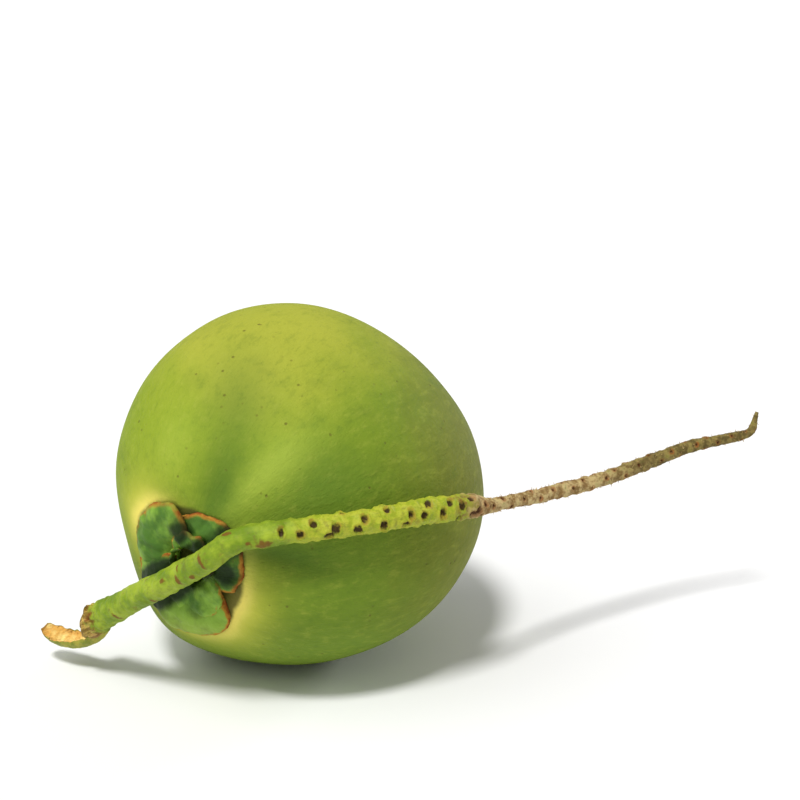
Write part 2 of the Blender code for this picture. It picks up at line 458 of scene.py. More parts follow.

# %% [markdown]
# ## The husk's skin
# The skin is a waxy yellow-green, never one colour. Painted light makes it yellower on the
# top and towards the left, where the suns fall, and lighter along the ridges. Painted shade
# makes it deeper green low down and in the furrows, and dark under the rim of the tepals.
# Towards the right it is a duller olive, partly its own tone and partly painted shade. It is
# cream where a tepal covered it. Fine paler streaks run from stem to tip, and small brown
# flecks are scattered over it. The thin wax gives only a broad, weak shine. A Mapping node
# turns Object coordinates onto the stem axis, so the streaks can follow the fruit.


# %% Make the skin
def make_husk_skin():
    material, tree, shader, place = start_material("husk_skin")
    mapping = {"Vector": place, "Location": CENTRE, "Rotation": AXES.to_euler()}
    fruit = place.node("ShaderNodeMapping", {"vector_type": "TEXTURE"}, mapping)
    x, y, z = (part_of(fruit, axis) for axis in range(3))
    girth = root(x * x + y * y + 1e-7)
    polar = girth.math("ARCTAN2", girth, z)
    round_stem = {0: x / girth, 1: y / girth, 2: polar * 0.35}
    meridian = fruit.node("ShaderNodeCombineXYZ", {}, round_stem)
    streak = grain(meridian, 26.0, 5.0, 0.62)
    fine_streak = grain(meridian, 90.0, 3.0, 0.6)
    cloud = grain(fruit, 17.0, 4.0, 0.55, 0.3)
    patch = grain(fruit, 48.0, 5.0, 0.62)
    height = part_of(place, 2)
    side = part_of(place, 0)

    painted_lit_green = srgb(138, 158, 41)
    leafy = srgb(110, 136, 38)
    olive = srgb(122, 121, 42)
    deep = srgb(66, 100, 31)
    cream = srgb(252, 235, 118)
    painted_top_light = srgb(178, 178, 66)
    pale_mottle = srgb(176, 182, 74)
    pale_streak = srgb(158, 168, 64)
    painted_ridge_light = srgb(172, 190, 74)
    soft_yellow = srgb(204, 204, 74)
    painted_shade_under_calyx = srgb(70, 66, 28)
    fleck_brown = srgb(92, 74, 34)
    scar_ring = srgb(160, 140, 70)
    scar_brown = srgb(84, 60, 34)

    # Painted light: lighter and yellower towards the top and the left, where the suns fall.
    sun = climb(height * 8.0 - side * 6.5 + (cloud - 0.5) * 1.2, 0.40, 1.50)
    colour = blend(sun, leafy, painted_lit_green)
    # Painted light: a yellower band over the very top of the fruit.
    lit_top = climb(height + (cloud - 0.5) * 0.05, 0.135, 0.180)
    colour = blend(lit_top * 0.75, colour, painted_top_light)
    # Duller olive towards the right: partly the husk's own tone, partly painted shade on the side away from
    # the light.
    colour = blend(climb(side + (patch - 0.5) * 0.05, 0.035, 0.10) * 0.75, colour, olive)
    colour = blend(climb(patch, 0.50, 0.74) * 0.20, colour, deep)
    mottle = grain(stretch(fruit, (1.0, 1.0, 0.6)), 190.0, 4.0, 0.7)
    colour = blend(climb(mottle, 0.50, 0.72) * 0.22, colour, deep)
    colour = blend((1.0 - climb(mottle, 0.30, 0.48)) * 0.20, colour, pale_mottle)
    colour = blend(climb(streak, 0.52, 0.76) * 0.30, colour, pale_streak)
    colour = blend(climb(fine_streak, 0.54, 0.78) * 0.22, colour, deep)
    # Painted shade: deeper green in the furrows, in the groove under the stalk and on a slope facing away
    # from the light.
    colour = blend(stored(tree, "painted_furrow_shade") * (0.30 + 0.45 * cloud), colour, deep)
    # Painted light: lighter green along the fuller stretches.
    colour = blend(stored(tree, "ridge_and_painted_light") * 0.45, colour, painted_ridge_light)

    past = stored(tree, "past_rim") * 1000.0 + (patch - 0.5) * 5.0
    pale = stored(tree, "pale")
    colour = blend(pale * hump(past, 1.0, 14.0) * 0.80, colour, soft_yellow)
    colour = blend(pale * hump(past, 0.5, 5.0) * 0.9, colour, cream)
    # Painted shade: dark on the husk just under the rim of the tepals.
    shade = 1.0 - climb(past, -2.0, 1.2)
    colour = blend(shade * 0.85, colour, painted_shade_under_calyx)

    cells = {"Vector": fruit, "Scale": 210.0, "Randomness": 1.0}
    speck = fruit.node("ShaderNodeTexVoronoi", {"feature": "F1"}, cells)
    chosen = climb(grain(fruit, 70.0, 1.0), 0.54, 0.66)
    speck = (1.0 - climb(speck, 0.06, 0.20)) * chosen
    colour = blend(speck * 0.6, colour, fleck_brown)
    tip = 1.0 - climb(math.pi - polar, 0.035, 0.075)
    ring = hump(math.pi - polar, 0.085, 0.03)
    colour = blend(ring * 0.5, colour, scar_ring)
    colour = blend(tip, colour, scar_brown)

    roughness = 0.52 + 0.16 * patch + 0.10 * fine_streak
    relief = 0.5 * streak + 0.35 * fine_streak + 0.5 * grain(fruit, 420.0, 3.0)
    finish_material(tree, shader, colour, roughness, relief - speck * 0.5, 0.0007)
    shader.inputs["Specular IOR Level"].default_value = 0.12
    return material


husk_skin = make_husk_skin()
show("husk", husk_mesh, husk_skin, "coconut_fruit")

# %% [markdown]
# ## The tepals
# Each tepal is a thick leathery scale, swollen in the middle, thin and dried out at its
# margin. A grid runs from edge to edge and from the neck to the rim. The upper and the
# under side share their outer points, so the piece closes there in a rounded edge. Slow
# noise puckers the surface, and the rim is nibbled, as dried margins are.

# %% Build one tepal
TEPAL_ACROSS = 88
TEPAL_OUT = 44
EDGE_ROUND = 0.0014
EDGE_THICKNESS = 0.0010
OVERLAP_STEP = 0.0026
OVERLAP_FROM = 20.0
OVERLAP_TO = 62.0
NECK_PRESS = 0.55
# Each layer: size of its lumps, their height, and its step of the tepal's seed.
NIBBLE = ((0.0085, 0.0016, 0.0), (0.0021, 0.0006, 4.0))
PUCKER = ((0.0080, 0.0016, 1.0), (0.0030, 0.0005, 2.0))
WAVE = ((0.0060, 0.0005, 3.0),)
FOLDS = ((0.14, 0.0014, 6.0),)
NIBBLE_CIRCLE = 0.03
FOLD_ROUND = 0.01
FOLD_OUT = 0.25
PUCKER_SHARE = 0.8
LEAST_THICKNESS = 0.0001


def closed_sheet(name, upper, lower):
    """A closed mesh from two grids of points that meet all round their edge."""
    rows, columns = upper.shape[:2]
    count = rows * columns
    number = np.arange(count).reshape(rows, columns)
    under = number + count
    under[0, :] = number[0, :]
    under[-1, :] = number[-1, :]
    under[:, 0] = number[:, 0]
    under[:, -1] = number[:, -1]
    faces = []
    for grid, turned in ((number, False), (under, True)):
        corners = [grid[:-1, :-1], grid[1:, :-1], grid[1:, 1:], grid[:-1, 1:]]
        ordered = np.stack(corners[::-1] if turned else corners, axis=-1)
        faces += ordered.reshape(-1, 4).tolist()
    mesh = bpy.data.meshes.new(name)
    points = np.concatenate([upper.reshape(-1, 3), lower.reshape(-1, 3)])
    mesh.from_pydata(points.tolist(), [], faces)
    return mesh


def drop_loose(mesh):
    """Removes the points that no face uses."""
    bm = bmesh.new()
    bm.from_mesh(mesh)
    loose = [vertex for vertex in bm.verts if not vertex.link_faces]
    bmesh.ops.delete(bm, geom=loose, context="VERTS")
    bmesh.ops.recalc_face_normals(bm, faces=bm.faces)
    bm.to_mesh(mesh)
    bm.free()


def build_tepal(name, angle, reach, fall, power, lift, swell, dryness, seed):
    u, v = np.meshgrid(np.linspace(-1.0, 1.0, TEPAL_ACROSS), np.linspace(0.0, 1.0, TEPAL_OUT))
    half_angle = BASE_HALF_ANGLE + (RIM_HALF_ANGLE - BASE_HALF_ANGLE) * v
    away = u * half_angle
    turn = np.radians(angle + away)
    flat = np.stack([np.cos(turn), np.sin(turn), v * 0.0], axis=-1).reshape(-1, 3)
    nibble = roughness_of(flat * NIBBLE_CIRCLE, NIBBLE, seed).reshape(u.shape)
    rim = rim_distance(u, reach, fall, power) + nibble * v
    distance = HOLE_RADIUS + (rim - HOLE_RADIUS) * v
    to_side = (1.0 - np.abs(u)) * np.radians(half_angle) * distance
    to_rim = (1.0 - v) * (rim - HOLE_RADIUS)
    margin = np.minimum(to_side, to_rim)
    inner_edge = np.minimum(margin, v * (rim - HOLE_RADIUS))
    edge = np.clip(inner_edge / EDGE_ROUND, 0.0, 1.0)
    thickness = EDGE_THICKNESS * np.sqrt(1.0 - (1.0 - edge) ** 2)
    body = (1.0 - u * u) * np.sin(math.pi * np.clip(v, 0.0, 1.0)) ** 0.7
    spots = flat * distance.reshape(-1, 1)
    fan = np.stack([away * FOLD_ROUND, v * FOLD_OUT, v * 0.0], axis=-1).reshape(-1, 3)
    pucker = roughness_of(spots, PUCKER, seed) + roughness_of(fan, FOLDS, seed)
    thickness += (swell * body + pucker.reshape(u.shape) * edge * PUCKER_SHARE) * edge
    thickness = np.where(edge > 0.0, np.maximum(thickness, LEAST_THICKNESS), 0.0)
    over = np.clip((-away - OVERLAP_FROM) / (OVERLAP_TO - OVERLAP_FROM), 0.0, 1.0)
    under = lift + OVERLAP_STEP * over * over * (3.0 - 2.0 * over) * (1.0 - NECK_PRESS * v)
    under += roughness_of(spots, WAVE, seed).reshape(u.shape) * v
    polar = np.arctan2(distance, STEM_FACE)
    upper = on_husk(polar, turn, under + thickness)
    lower = on_husk(polar, turn, under)
    mesh = closed_sheet(name, upper, lower)
    both = np.concatenate([margin.ravel(), margin.ravel()])
    give_numbers(mesh, "margin", both)
    give_numbers(mesh, "across", np.concatenate([np.radians(away).ravel()] * 2))
    give_numbers(mesh, "outward", np.concatenate([distance.ravel()] * 2))
    give_numbers(mesh, "dryness", np.full(2 * u.size, dryness))
    drop_loose(mesh)
    return mesh


# %% [markdown]
# ## The tepals' finish
# The flesh is a darker, bluer green than the husk, with paler veins that fan out from the
# neck. The margin has dried to orange and brown in a ragged line, with a few brown
# bruises near it. Numbers stored on the mesh say how far each point is from the margin
# and from the neck, so the veins and the dried line follow the tepal itself.


# %% Make the tepals' finish
def make_calyx_flesh():
    material, tree, shader, place = start_material("calyx_flesh")
    margin = stored(tree, "margin") * 1000.0
    outward = stored(tree, "outward") * 1000.0
    across = stored(tree, "across")
    vein_place = across.node("ShaderNodeCombineXYZ", {}, {0: across * 6.0, 1: outward * 0.035, 2: 0.0})
    vein = grain(vein_place, 3.2, 4.0, 0.6)
    cloud = grain(place, 58.0, 4.0, 0.6)
    blotch = grain(place, 210.0, 4.0, 0.6)
    fine = grain(place, 900.0, 3.0, 0.6)

    dark_flesh = srgb(76, 116, 38)
    light_flesh = srgb(134, 174, 60)
    vein_green = srgb(108, 140, 54)
    blotch_olive = srgb(104, 112, 38)
    low_yellow = srgb(158, 164, 60)
    dried_tan = srgb(176, 128, 46)
    dried_brown = srgb(144, 74, 26)
    bruise_brown = srgb(116, 78, 32)
    painted_shadow_green = srgb(20, 38, 10)

    colour = blend(climb(cloud, 0.38, 0.62), dark_flesh, light_flesh)
    colour = blend(climb(vein, 0.50, 0.80) * 0.3, colour, vein_green)
    colour = blend(climb(blotch, 0.60, 0.78) * 0.35, colour, blotch_olive)
    low = 1.0 - climb(part_of(place, 2) + (cloud - 0.5) * 0.02, 0.034, 0.056)
    colour = blend(low * 0.45, colour, low_yellow)

    dryness = stored(tree, "dryness")
    width = climb(grain(place, 95.0, 2.0, 0.5), 0.36, 0.62) * 0.8 + (dryness - 0.8)
    broken = climb(grain(place, 160.0, 2.0, 0.5), 0.40, 0.56)
    dryness = dryness * (0.30 + 0.70 * broken) + (broken - 1.0) * (1.0 - dryness) * 2.6
    edge = margin + (blotch - 0.5) * 2.6 + (fine - 0.5) * 1.2
    tan = (1.0 - climb(edge, 0.4 + 0.8 * width, 1.3 + 2.2 * width)) * dryness
    brown = (1.0 - climb(edge, 0.2, 0.8 + 1.6 * width)) * dryness
    colour = blend(tan * 0.8, colour, dried_tan)
    colour = blend(brown * climb(blotch, 0.38, 0.60) * 0.85, colour, dried_brown)
    bruise = climb(grain(place, 130.0, 3.0, 0.7), 0.64, 0.73) * (1.0 - climb(margin, 3.0, 9.0))
    colour = blend(bruise * 0.7, colour, bruise_brown)

    # Painted shadow: nearly black where the stalk lies over the flesh and in two shaded hollows.
    stalk_shadow = climb(stored(tree, "stalk_shadow") + (blotch - 0.5) * 0.4, 0.15, 0.85)
    colour = blend(stalk_shadow * 0.94, colour, painted_shadow_green)

    roughness = 0.46 + 0.2 * blotch + 0.25 * tan
    relief = vein * 0.6 + blotch * 0.5 + fine * 0.25
    finish_material(tree, shader, colour, roughness, relief, 0.0005)
    shader.inputs["Specular IOR Level"].default_value = 0.18
    return material


calyx_flesh = make_calyx_flesh()

# %% [markdown]
# ## The two whorls
# The inner tepals lie on the husk and swell most. The small outer ones stand over them,
# nearer to the neck, and are thinner and more dried out. One loop builds all six from a row
# of sizes each, so a fruit with other tepals needs only other rows.

# %% Place the six tepals
# For each whorl: its tepals, how far it stands off the husk, the swell and the dryness of
# each tepal, and the first seed.
WHORLS = (
    (INNER_TEPALS, 0.0004, (0.0014, 0.0034, 0.0056), (1.3, 1.1, 1.5), 11.0),
    (OUTER_TEPALS, 0.0040, (0.0010, 0.0010, 0.0014), (1.0, 0.5, 0.9), 21.0),
)

tepal_meshes = []
for tepals, lift, swells, dryness, seed in WHORLS:
    for number, tepal in enumerate(tepals):
        tepal_mesh = build_tepal(*tepal, lift, swells[number], dryness[number], seed + number)
        tepal_meshes.append(tepal_mesh)
        show("fleshy_" + tepal[0], tepal_mesh, calyx_flesh, tepal[0])
print("tepals: 6, each", len(tepal_mesh.polygons), "faces")

# %% [markdown]
# ## The stalk's course
# The stalk once carried dozens of small male flowers. Each left an oval scar, and past the
# last fruit it dried to a thin tan tail. It is a stem of changing thickness along one
# curve, so a route of points with a radius for each describes it, smoothed into a curve
# that passes through them all.

# %% Smooth the route
# x, y, z and radius in millimetres, from the torn heel to the tip.
STALK_ROUTE = (
    (-96.4, -37.2, 26.6, 6.6),
    (-91.5, -41.0, 31.4, 7.3),
    (-85.2, -46.8, 37.2, 6.9),
    (-67.6, -63.7, 53.4, 6.4),
    (-48.4, -81.2, 70.0, 6.1),
    (-29.6, -96.6, 86.4, 5.8),
    (-21.0, -99.5, 94.3, 5.8),
    (-13.0, -101.5, 98.9, 5.8),
    (-3.9, -102.0, 101.2, 5.7),
    (17.5, -100.0, 102.8, 5.5),
    (44.4, -91.7, 103.6, 5.7),
    (65.5, -80.0, 102.9, 5.9),
    (87.0, -64.0, 99.6, 5.9),
    (95.9, -55.2, 96.6, 4.9),
    (100.1, -50.4, 95.1, 3.5),
    (113.5, -37.4, 92.4, 3.3),
    (131.8, -20.4, 90.1, 3.5),
    (158.4, -0.4, 89.6, 3.6),
    (185.4, 15.6, 93.6, 3.5),
    (207.0, 25.6, 98.2, 3.1),
    (231.5, 34.6, 100.1, 2.5),
    (239.9, 37.6, 102.4, 2.1),
    (243.3, 40.6, 111.8, 0.9),
)
ROUTE_STEPS = 24


def smooth_route(route, steps):
    """Points and radii of a Catmull-Rom curve through the route, in metres."""
    points = np.array(route)
    ends = (2 * points[0] - points[1], 2 * points[-1] - points[-2])
    points = np.vstack([ends[0], points, ends[1]])
    smooth = []
    for before, start, end, after in zip(points, points[1:], points[2:], points[3:]):
        for t in np.arange(steps) / steps:
            smooth.append(0.5 * (
                2 * start
                + (end - before) * t
                + (2 * before - 5 * start + 4 * end - after) * t ** 2
                + (3 * start - before - 3 * end + after) * t ** 3
            ))
    smooth.append(points[-2])
    return np.array(smooth) * MM


stalk_line = smooth_route(STALK_ROUTE, ROUTE_STEPS)
stalk_reach = np.concatenate([[0.0], np.cumsum(np.linalg.norm(np.diff(stalk_line[:, :3], axis=0), axis=1))])
print("stalk length, m:", round(float(stalk_reach[-1]), 4))


def stalk_frame(reach):
    """Where the stalk is this far from its heel: point, radius, tangent, outward and up."""
    point = np.array([np.interp(reach, stalk_reach, stalk_line[:, axis]) for axis in range(4)])
    ahead = np.array([np.interp(reach + MM, stalk_reach, stalk_line[:, axis]) for axis in range(3)])
    behind = np.array([np.interp(reach - MM, stalk_reach, stalk_line[:, axis]) for axis in range(3)])
    tangent = Vector(ahead - behind).normalized()
    middle = Vector(point[:3])
    outward = middle - CENTRE
    outward = (outward - outward.dot(tangent) * tangent).normalized()
    return middle, float(point[3]), tangent, outward, outward.cross(tangent)


# %% [markdown]
# ## The flower scars
# On the stretch over the husk the scars sit where the flowers sat, a few millimetres
# apart. Each is an oval sunk in the stem with a low rim. Further along, the tail's
# scars are small and follow the spiral that most plants grow by, 137.5 degrees from
# one to the next. Each scar is one point with a size and a turn stored on it, which the
# Geometry Nodes tree below reads.

# %% Lay out the scars
FIRST_SCAR = 0.1475
SCAR_GROWTH = 1.3
# Millimetres from the first scar, degrees up from the outer side, half length and half width.
OUTER_SCARS = (
    (0.0, 10, 0.6, 2.3),
    (8.0, -10, 1.1, 1.4),
    (14.0, 36, 1.0, 1.4),
    (20.5, -34, 1.6, 1.2),
    (23.5, -2, 1.4, 2.2),
    (27.5, 82, 0.8, 0.9),
    (33.5, -22, 1.3, 1.5),
    (37.0, 26, 1.1, 1.8),
    (45.5, -20, 1.3, 1.5),
    (48.0, 50, 0.9, 0.8),
    (56.5, -36, 1.2, 0.9),
    (59.0, 10, 0.9, 2.7),
    (66.0, -6, 1.2, 1.3),
    (69.0, 48, 1.1, 1.4),
    (76.5, -8, 1.2, 2.4),
    (81.0, 38, 1.0, 1.3),
    (86.0, -44, 1.4, 0.5),
    (87.5, 16, 1.2, 2.2),
    (93.5, 46, 1.0, 1.1),
    (95.5, -34, 2.0, 1.1),
    (98.0, -14, 1.2, 1.5),
    (101.5, -50, 1.1, 0.9),
    (103.0, 14, 0.9, 1.1),
    (107.0, -8, 0.9, 1.2),
)
HEEL_PIT = (0.0125, 34.0, 1.8, 2.0)
HIDDEN_SPACING = 6.3
HIDDEN_COUNT = 15
GOLDEN_ANGLE = 137.5
TAIL_START = 0.259
TAIL_SPACING = 0.0027
TAIL_SCAR = (0.55, 0.75)


def scar_rows():
    """Every scar: distance from the heel in metres, degrees, half length and half width."""
    rows = []
    for along, angle, length, width in OUTER_SCARS:
        rows.append((FIRST_SCAR + along * MM, angle, length * SCAR_GROWTH, width * SCAR_GROWTH))
    rows.append(HEEL_PIT)
    for number in range(HIDDEN_COUNT):
        along = FIRST_SCAR + (4.0 + number * HIDDEN_SPACING) * MM
        angle = 180.0 + 62.0 * math.sin(number * 2.4)
        rows.append((along, angle, 1.0, 1.2 + 0.4 * math.sin(number * 5.1)))
    count = int((stalk_reach[-1] - TAIL_START - 0.004) / TAIL_SPACING)
    for number in range(count):
        size = 1.0 - 0.45 * number / count
        wobble = 0.0008 * math.sin(number * 3.3)
        along = TAIL_START + number * TAIL_SPACING + wobble
        rows.append((along, number * GOLDEN_ANGLE, TAIL_SCAR[0] * size, TAIL_SCAR[1] * size))
    return rows


def scar_points():
    """A mesh of single points, each with the size and the turn of its scar."""
    places, sizes, turns = [], [], []
    for along, angle, half_length, half_width in scar_rows():
        middle, radius, tangent, outward, up = stalk_frame(along)
        tilt = math.radians(angle)
        facing = outward * math.cos(tilt) + up * math.sin(tilt)
        places.append(middle + facing * radius)
        sizes.append((half_length * MM, half_width * MM, MM))
        turned = Matrix((tangent, facing.cross(tangent), facing)).transposed()
        turns.append(tuple(turned.to_euler()))
    mesh = bpy.data.meshes.new("scar_points")
    mesh.from_pydata(places, [], [])
    for name, values in (("size", sizes), ("turned", turns)):
        attribute = mesh.attributes.new(name, "FLOAT_VECTOR", "POINT")
        attribute.data.foreach_set("vector", np.array(values, dtype=np.float32).ravel())
    guide = bpy.data.objects.new("scar_points", mesh)
    bpy.context.scene.collection.objects.link(guide)
    return guide


scar_guide = scar_points()
print("flower scars:", len(scar_guide.data.vertices))

# %% [markdown]
# ## A tree that grows the stem
# A stem that follows a path is work for Geometry Nodes. The tree turns a line of points
# into a curve, sweeps a circle along it at the stored thickness, lays a small oval on
# every scar point, and measures how far each point of the stem is from the nearest oval.
# Inside an oval the skin is sunk, just outside it is raised, and noise makes it knobbly.
# It stores that distance, the distance from the heel and the place round the stem,
# so that the material can follow them.


# %% Helpers for Geometry Nodes trees
def start_tree(name, sizes):
    """A new tree whose inputs are a geometry, named sizes and a material."""
    tree = bpy.data.node_groups.new(name, "GeometryNodeTree")
    tree.interface.new_socket("Geometry", in_out="INPUT", socket_type="NodeSocketGeometry")
    for label, kind in sizes:
        tree.interface.new_socket(label, in_out="INPUT", socket_type=kind)
    tree.interface.new_socket("Material", in_out="INPUT", socket_type="NodeSocketMaterial")
    tree.interface.new_socket("Geometry", in_out="OUTPUT", socket_type="NodeSocketGeometry")
    entry = tree.nodes.new("NodeGroupInput")
    wires = {socket.name: Wire(tree, socket) for socket in entry.outputs if socket.name}
    return tree, wires


def end_tree(tree, geometry, material):
    """Every tree ends in real geometry that carries its material."""
    real = geometry.node("GeometryNodeRealizeInstances", {}, {0: geometry})
    coated = real.node("GeometryNodeSetMaterial", {}, {0: real, "Material": material})
    exit_node = tree.nodes.new("NodeGroupOutput")
    connect(tree, coated, exit_node.inputs[0])


def named(tree, name, kind="FLOAT"):
    return Wire(tree).node("GeometryNodeInputNamedAttribute", {"data_type": kind}, {"Name": name})


def store(geometry, name, value, kind="FLOAT"):
    settings = {"data_type": kind, "domain": "POINT"}
    inputs = {0: geometry, "Name": name, "Value": value}
    return geometry.node("GeometryNodeStoreNamedAttribute", settings, inputs)


def grown_mesh(guide, tree, values):
    """Runs the tree on the guide, returns the result as a plain mesh and removes the guide."""
    modifier = guide.modifiers.new("Grow", "NODES")
    modifier.node_group = tree
    for item in tree.interface.items_tree:
        if item.in_out == "INPUT" and item.name in values:
            modifier[item.identifier] = values[item.name]
    graph = bpy.context.evaluated_depsgraph_get()
    graph.update()
    mesh = bpy.data.meshes.new_from_object(guide.evaluated_get(graph))
    guide.modifiers.remove(modifier)
    bpy.data.objects.remove(guide, do_unlink=True)
    return mesh


# %% The stem's tree
OVAL_CORNERS = 10
RAGGED_LUMPS = 800.0
RAGGED_MIDDLE = 0.45
PIT_FLOOR = 0.0001
PIT_EDGE = 0.0006
USUAL_THICKNESS = 0.0055


def make_stem_tree():
    sizes = [
        ("Scars", "NodeSocketObject"),
        ("Ring spacing", "NodeSocketFloat"),
        ("Sides", "NodeSocketInt"),
        ("Scar depth", "NodeSocketFloat"),
        ("Scar raggedness", "NodeSocketFloat"),
        ("Rim height", "NodeSocketFloat"),
        ("Rim width", "NodeSocketFloat"),
        ("Knob height", "NodeSocketFloat"),
        ("Knob size", "NodeSocketFloat"),
    ]
    tree, wires = start_tree("grow_stem", sizes)
    line = wires["Geometry"].node("GeometryNodeMeshToCurve", {}, {0: wires["Geometry"]})
    spacing = {0: line, "Length": wires["Ring spacing"]}
    line = line.node("GeometryNodeResampleCurve", {"mode": "LENGTH"}, spacing)
    reach = line.node("GeometryNodeSplineParameter", {}, {}, "Length")
    line = store(line, "reach", reach)
    circle = {"Resolution": wires["Sides"], "Radius": 1.0}
    ring = line.node("GeometryNodeCurvePrimitiveCircle", {"mode": "RADIUS"}, circle)
    here = ring.node("GeometryNodeInputPosition")
    ring = store(ring, "round", here, "FLOAT_VECTOR")
    sweep = {0: line, 1: ring, "Scale": named(tree, "thickness"), "Fill Caps": True}
    stem = line.node("GeometryNodeCurveToMesh", {}, sweep)

    outline = {"Vertices": OVAL_CORNERS, "Radius": 1.0}
    oval = stem.node("GeometryNodeMeshCircle", {"fill_type": "TRIANGLE_FAN"}, outline)
    marks = stem.node("GeometryNodeObjectInfo", {}, {"Object": wires["Scars"]}, "Geometry")
    laid = {
        "Points": marks,
        "Instance": oval,
        "Rotation": named(tree, "turned", "FLOAT_VECTOR"),
        "Scale": named(tree, "size", "FLOAT_VECTOR"),
    }
    ovals = marks.node("GeometryNodeInstanceOnPoints", {}, laid)
    ovals = ovals.node("GeometryNodeRealizeInstances", {}, {0: ovals})
    nearest = ovals.node("GeometryNodeProximity", {"target_element": "FACES"}, {0: ovals}, "Distance")
    place = marks.node("GeometryNodeInputPosition")
    lumps = {"Vector": place, "Scale": RAGGED_LUMPS, "Detail": 2.0}
    ragged = place.node("ShaderNodeTexNoise", {}, lumps) - RAGGED_MIDDLE
    stem = store(stem, "scar", nearest + ragged * wires["Scar raggedness"])

    scar = named(tree, "scar")
    thickness = named(tree, "thickness") / USUAL_THICKNESS
    pit = 1.0 - climb(scar, PIT_FLOOR, PIT_EDGE)
    away = (scar - wires["Rim width"] * 1.5) / wires["Rim width"]
    rim = scar.math("EXPONENT", away * away * -1.0)
    knob_inputs = {"Vector": place, "Scale": 1.0 / wires["Knob size"], "Detail": 2.0}
    knob = place.node("ShaderNodeTexNoise", {}, knob_inputs) - 0.5
    knob = knob * wires["Knob height"] * named(tree, "knobbly")
    raised = rim * wires["Rim height"] - pit * wires["Scar depth"] + knob
    normal = scar.node("GeometryNodeInputNormal")
    push = {"operation": "SCALE"}
    offset = normal.node("ShaderNodeVectorMath", push, {0: normal, "Scale": raised * thickness})
    stem = stem.node("GeometryNodeSetPosition", {}, {0: stem, "Offset": offset})
    end_tree(tree, stem, wires["Material"])
    return tree


stem_tree = make_stem_tree()

# %% [markdown]
# ## The stalk's finish
# Near the heel and over the calyx the stalk is smooth and green. The scarred stretch is
# yellower. At the end of the scars it turns to a dry peach tan within a centimetre, and
# the tip of the tail is olive brown. The scars are dark brown inside with a reddish rim.
# Brown ring marks cross the smooth stretch where leaves of the bunch were attached.


# %% Make the stalk's finish
def make_stalk_bark():
    material, tree, shader, place = start_material("stalk_bark")
    reach = stored(tree, "reach") * 1000.0
    scar = stored(tree, "scar") * 1000.0
    around = stored(tree, "round", "Vector")
    lengthwise = around.node("ShaderNodeVectorMath", {"operation": "SCALE"}, {0: around, "Scale": 5.5})
    along = around.node("ShaderNodeCombineXYZ", {}, {2: reach * 0.18})
    add = {"operation": "ADD"}
    lengthwise = lengthwise.node("ShaderNodeVectorMath", add, {0: lengthwise, 1: along})
    streak = grain(lengthwise, 0.9, 4.0, 0.6)
    cloud = grain(place, 70.0, 4.0, 0.6)
    blotch = grain(place, 260.0, 4.0, 0.65)
    fine = grain(place, 1100.0, 3.0, 0.6)

    shade_green = srgb(108, 124, 48)
    blotch_green = srgb(112, 122, 44)
    dirt_brown = srgb(124, 96, 40)
    stain_brown = srgb(116, 68, 14)
    rust = srgb(148, 78, 28)
    collar_brown = srgb(104, 64, 32)
    green = blend(climb(cloud, 0.35, 0.65), srgb(110, 138, 24), srgb(158, 178, 46))
    yellow = blend(climb(blotch, 0.35, 0.65), srgb(150, 166, 36), srgb(184, 188, 56))
    peach = blend(climb(blotch, 0.38, 0.64), srgb(140, 110, 64), srgb(216, 192, 136))
    olive = blend(climb(blotch, 0.38, 0.64), srgb(96, 82, 42), srgb(150, 132, 74))
    wander = (cloud - 0.5) * 14.0 + (blotch - 0.5) * 8.0
    colour = blend(climb(reach + wander, 145.0, 165.0), green, yellow)
    colour = blend(climb(reach + wander, 236.0, 246.0), colour, peach)
    colour = blend(climb(reach + wander * 2.0, 320.0, 375.0), colour, olive)
    colour = blend(climb(streak, 0.52, 0.75) * 0.3, colour, shade_green)
    dry = climb(reach + wander, 238.0, 252.0)

    colour = blend(climb(blotch, 0.54, 0.70) * 0.5, colour, blotch_green)
    dirt = climb(grain(place, 190.0, 4.0, 0.75), 0.58, 0.70) * (1.0 - dry)
    colour = blend(dirt * 0.42, colour, dirt_brown)
    stain = climb(stored(tree, "stain") + (blotch - 0.5) * 1.8, 0.25, 0.70)
    colour = blend(stain * 0.85, colour, stain_brown)
    rusty = hump(scar, 0.6, 0.6) * climb(blotch, 0.40, 0.60)
    colour = blend(rusty * (0.45 + 0.35 * dry), colour, rust)
    collar = hump(reach + wander * 0.6, 236.0, 6.0) * climb(blotch, 0.42, 0.60)
    colour = blend(collar * 0.7, colour, collar_brown)
    torn = 1.0 - climb(reach + (blotch - 0.5) * 22.0 + (cloud - 0.5) * 8.0, 8.0, 14.0)
    wood = blend(climb(streak, 0.42, 0.62), srgb(122, 80, 34), srgb(206, 168, 88))
    colour = blend(torn * 0.85, colour, wood)
    pit = 1.0 - climb(scar + (blotch - 0.5) * 0.9, 0.15, 0.60)
    dark = blend(dry, srgb(54, 28, 8), srgb(88, 48, 22))
    colour = blend(pit * 0.95, colour, dark)

    roughness = 0.48 + 0.18 * blotch + 0.25 * dry
    relief = streak * 0.8 + blotch * 0.5 + fine * (0.3 + 0.8 * dry)
    finish_material(tree, shader, colour, roughness, relief, 0.0005)
    shader.inputs["Specular IOR Level"].default_value = 0.22
    return material


stalk_bark = make_stalk_bark()


# %% [markdown]
# ## Growing the stalk
# The tree needs one line of points with the thickness on each. The thickness closes in a
# round end at the heel, and a second number says how knobbly each stretch is: most at the
# torn heel and among the scars, least on the smooth part.

# %% Grow the stalk
HEEL_ROUND = 0.0045
ROUND_END = 0.995
# Metres from the heel, and how knobbly the stem is there.
KNOBBLY_AT = (0.0, 0.004, 0.012, 0.03, 0.13, 0.16, 0.25, 0.27, 0.42)
KNOBBLY = (4.0, 3.0, 1.8, 1.0, 1.2, 2.2, 2.7, 2.4, 2.6)


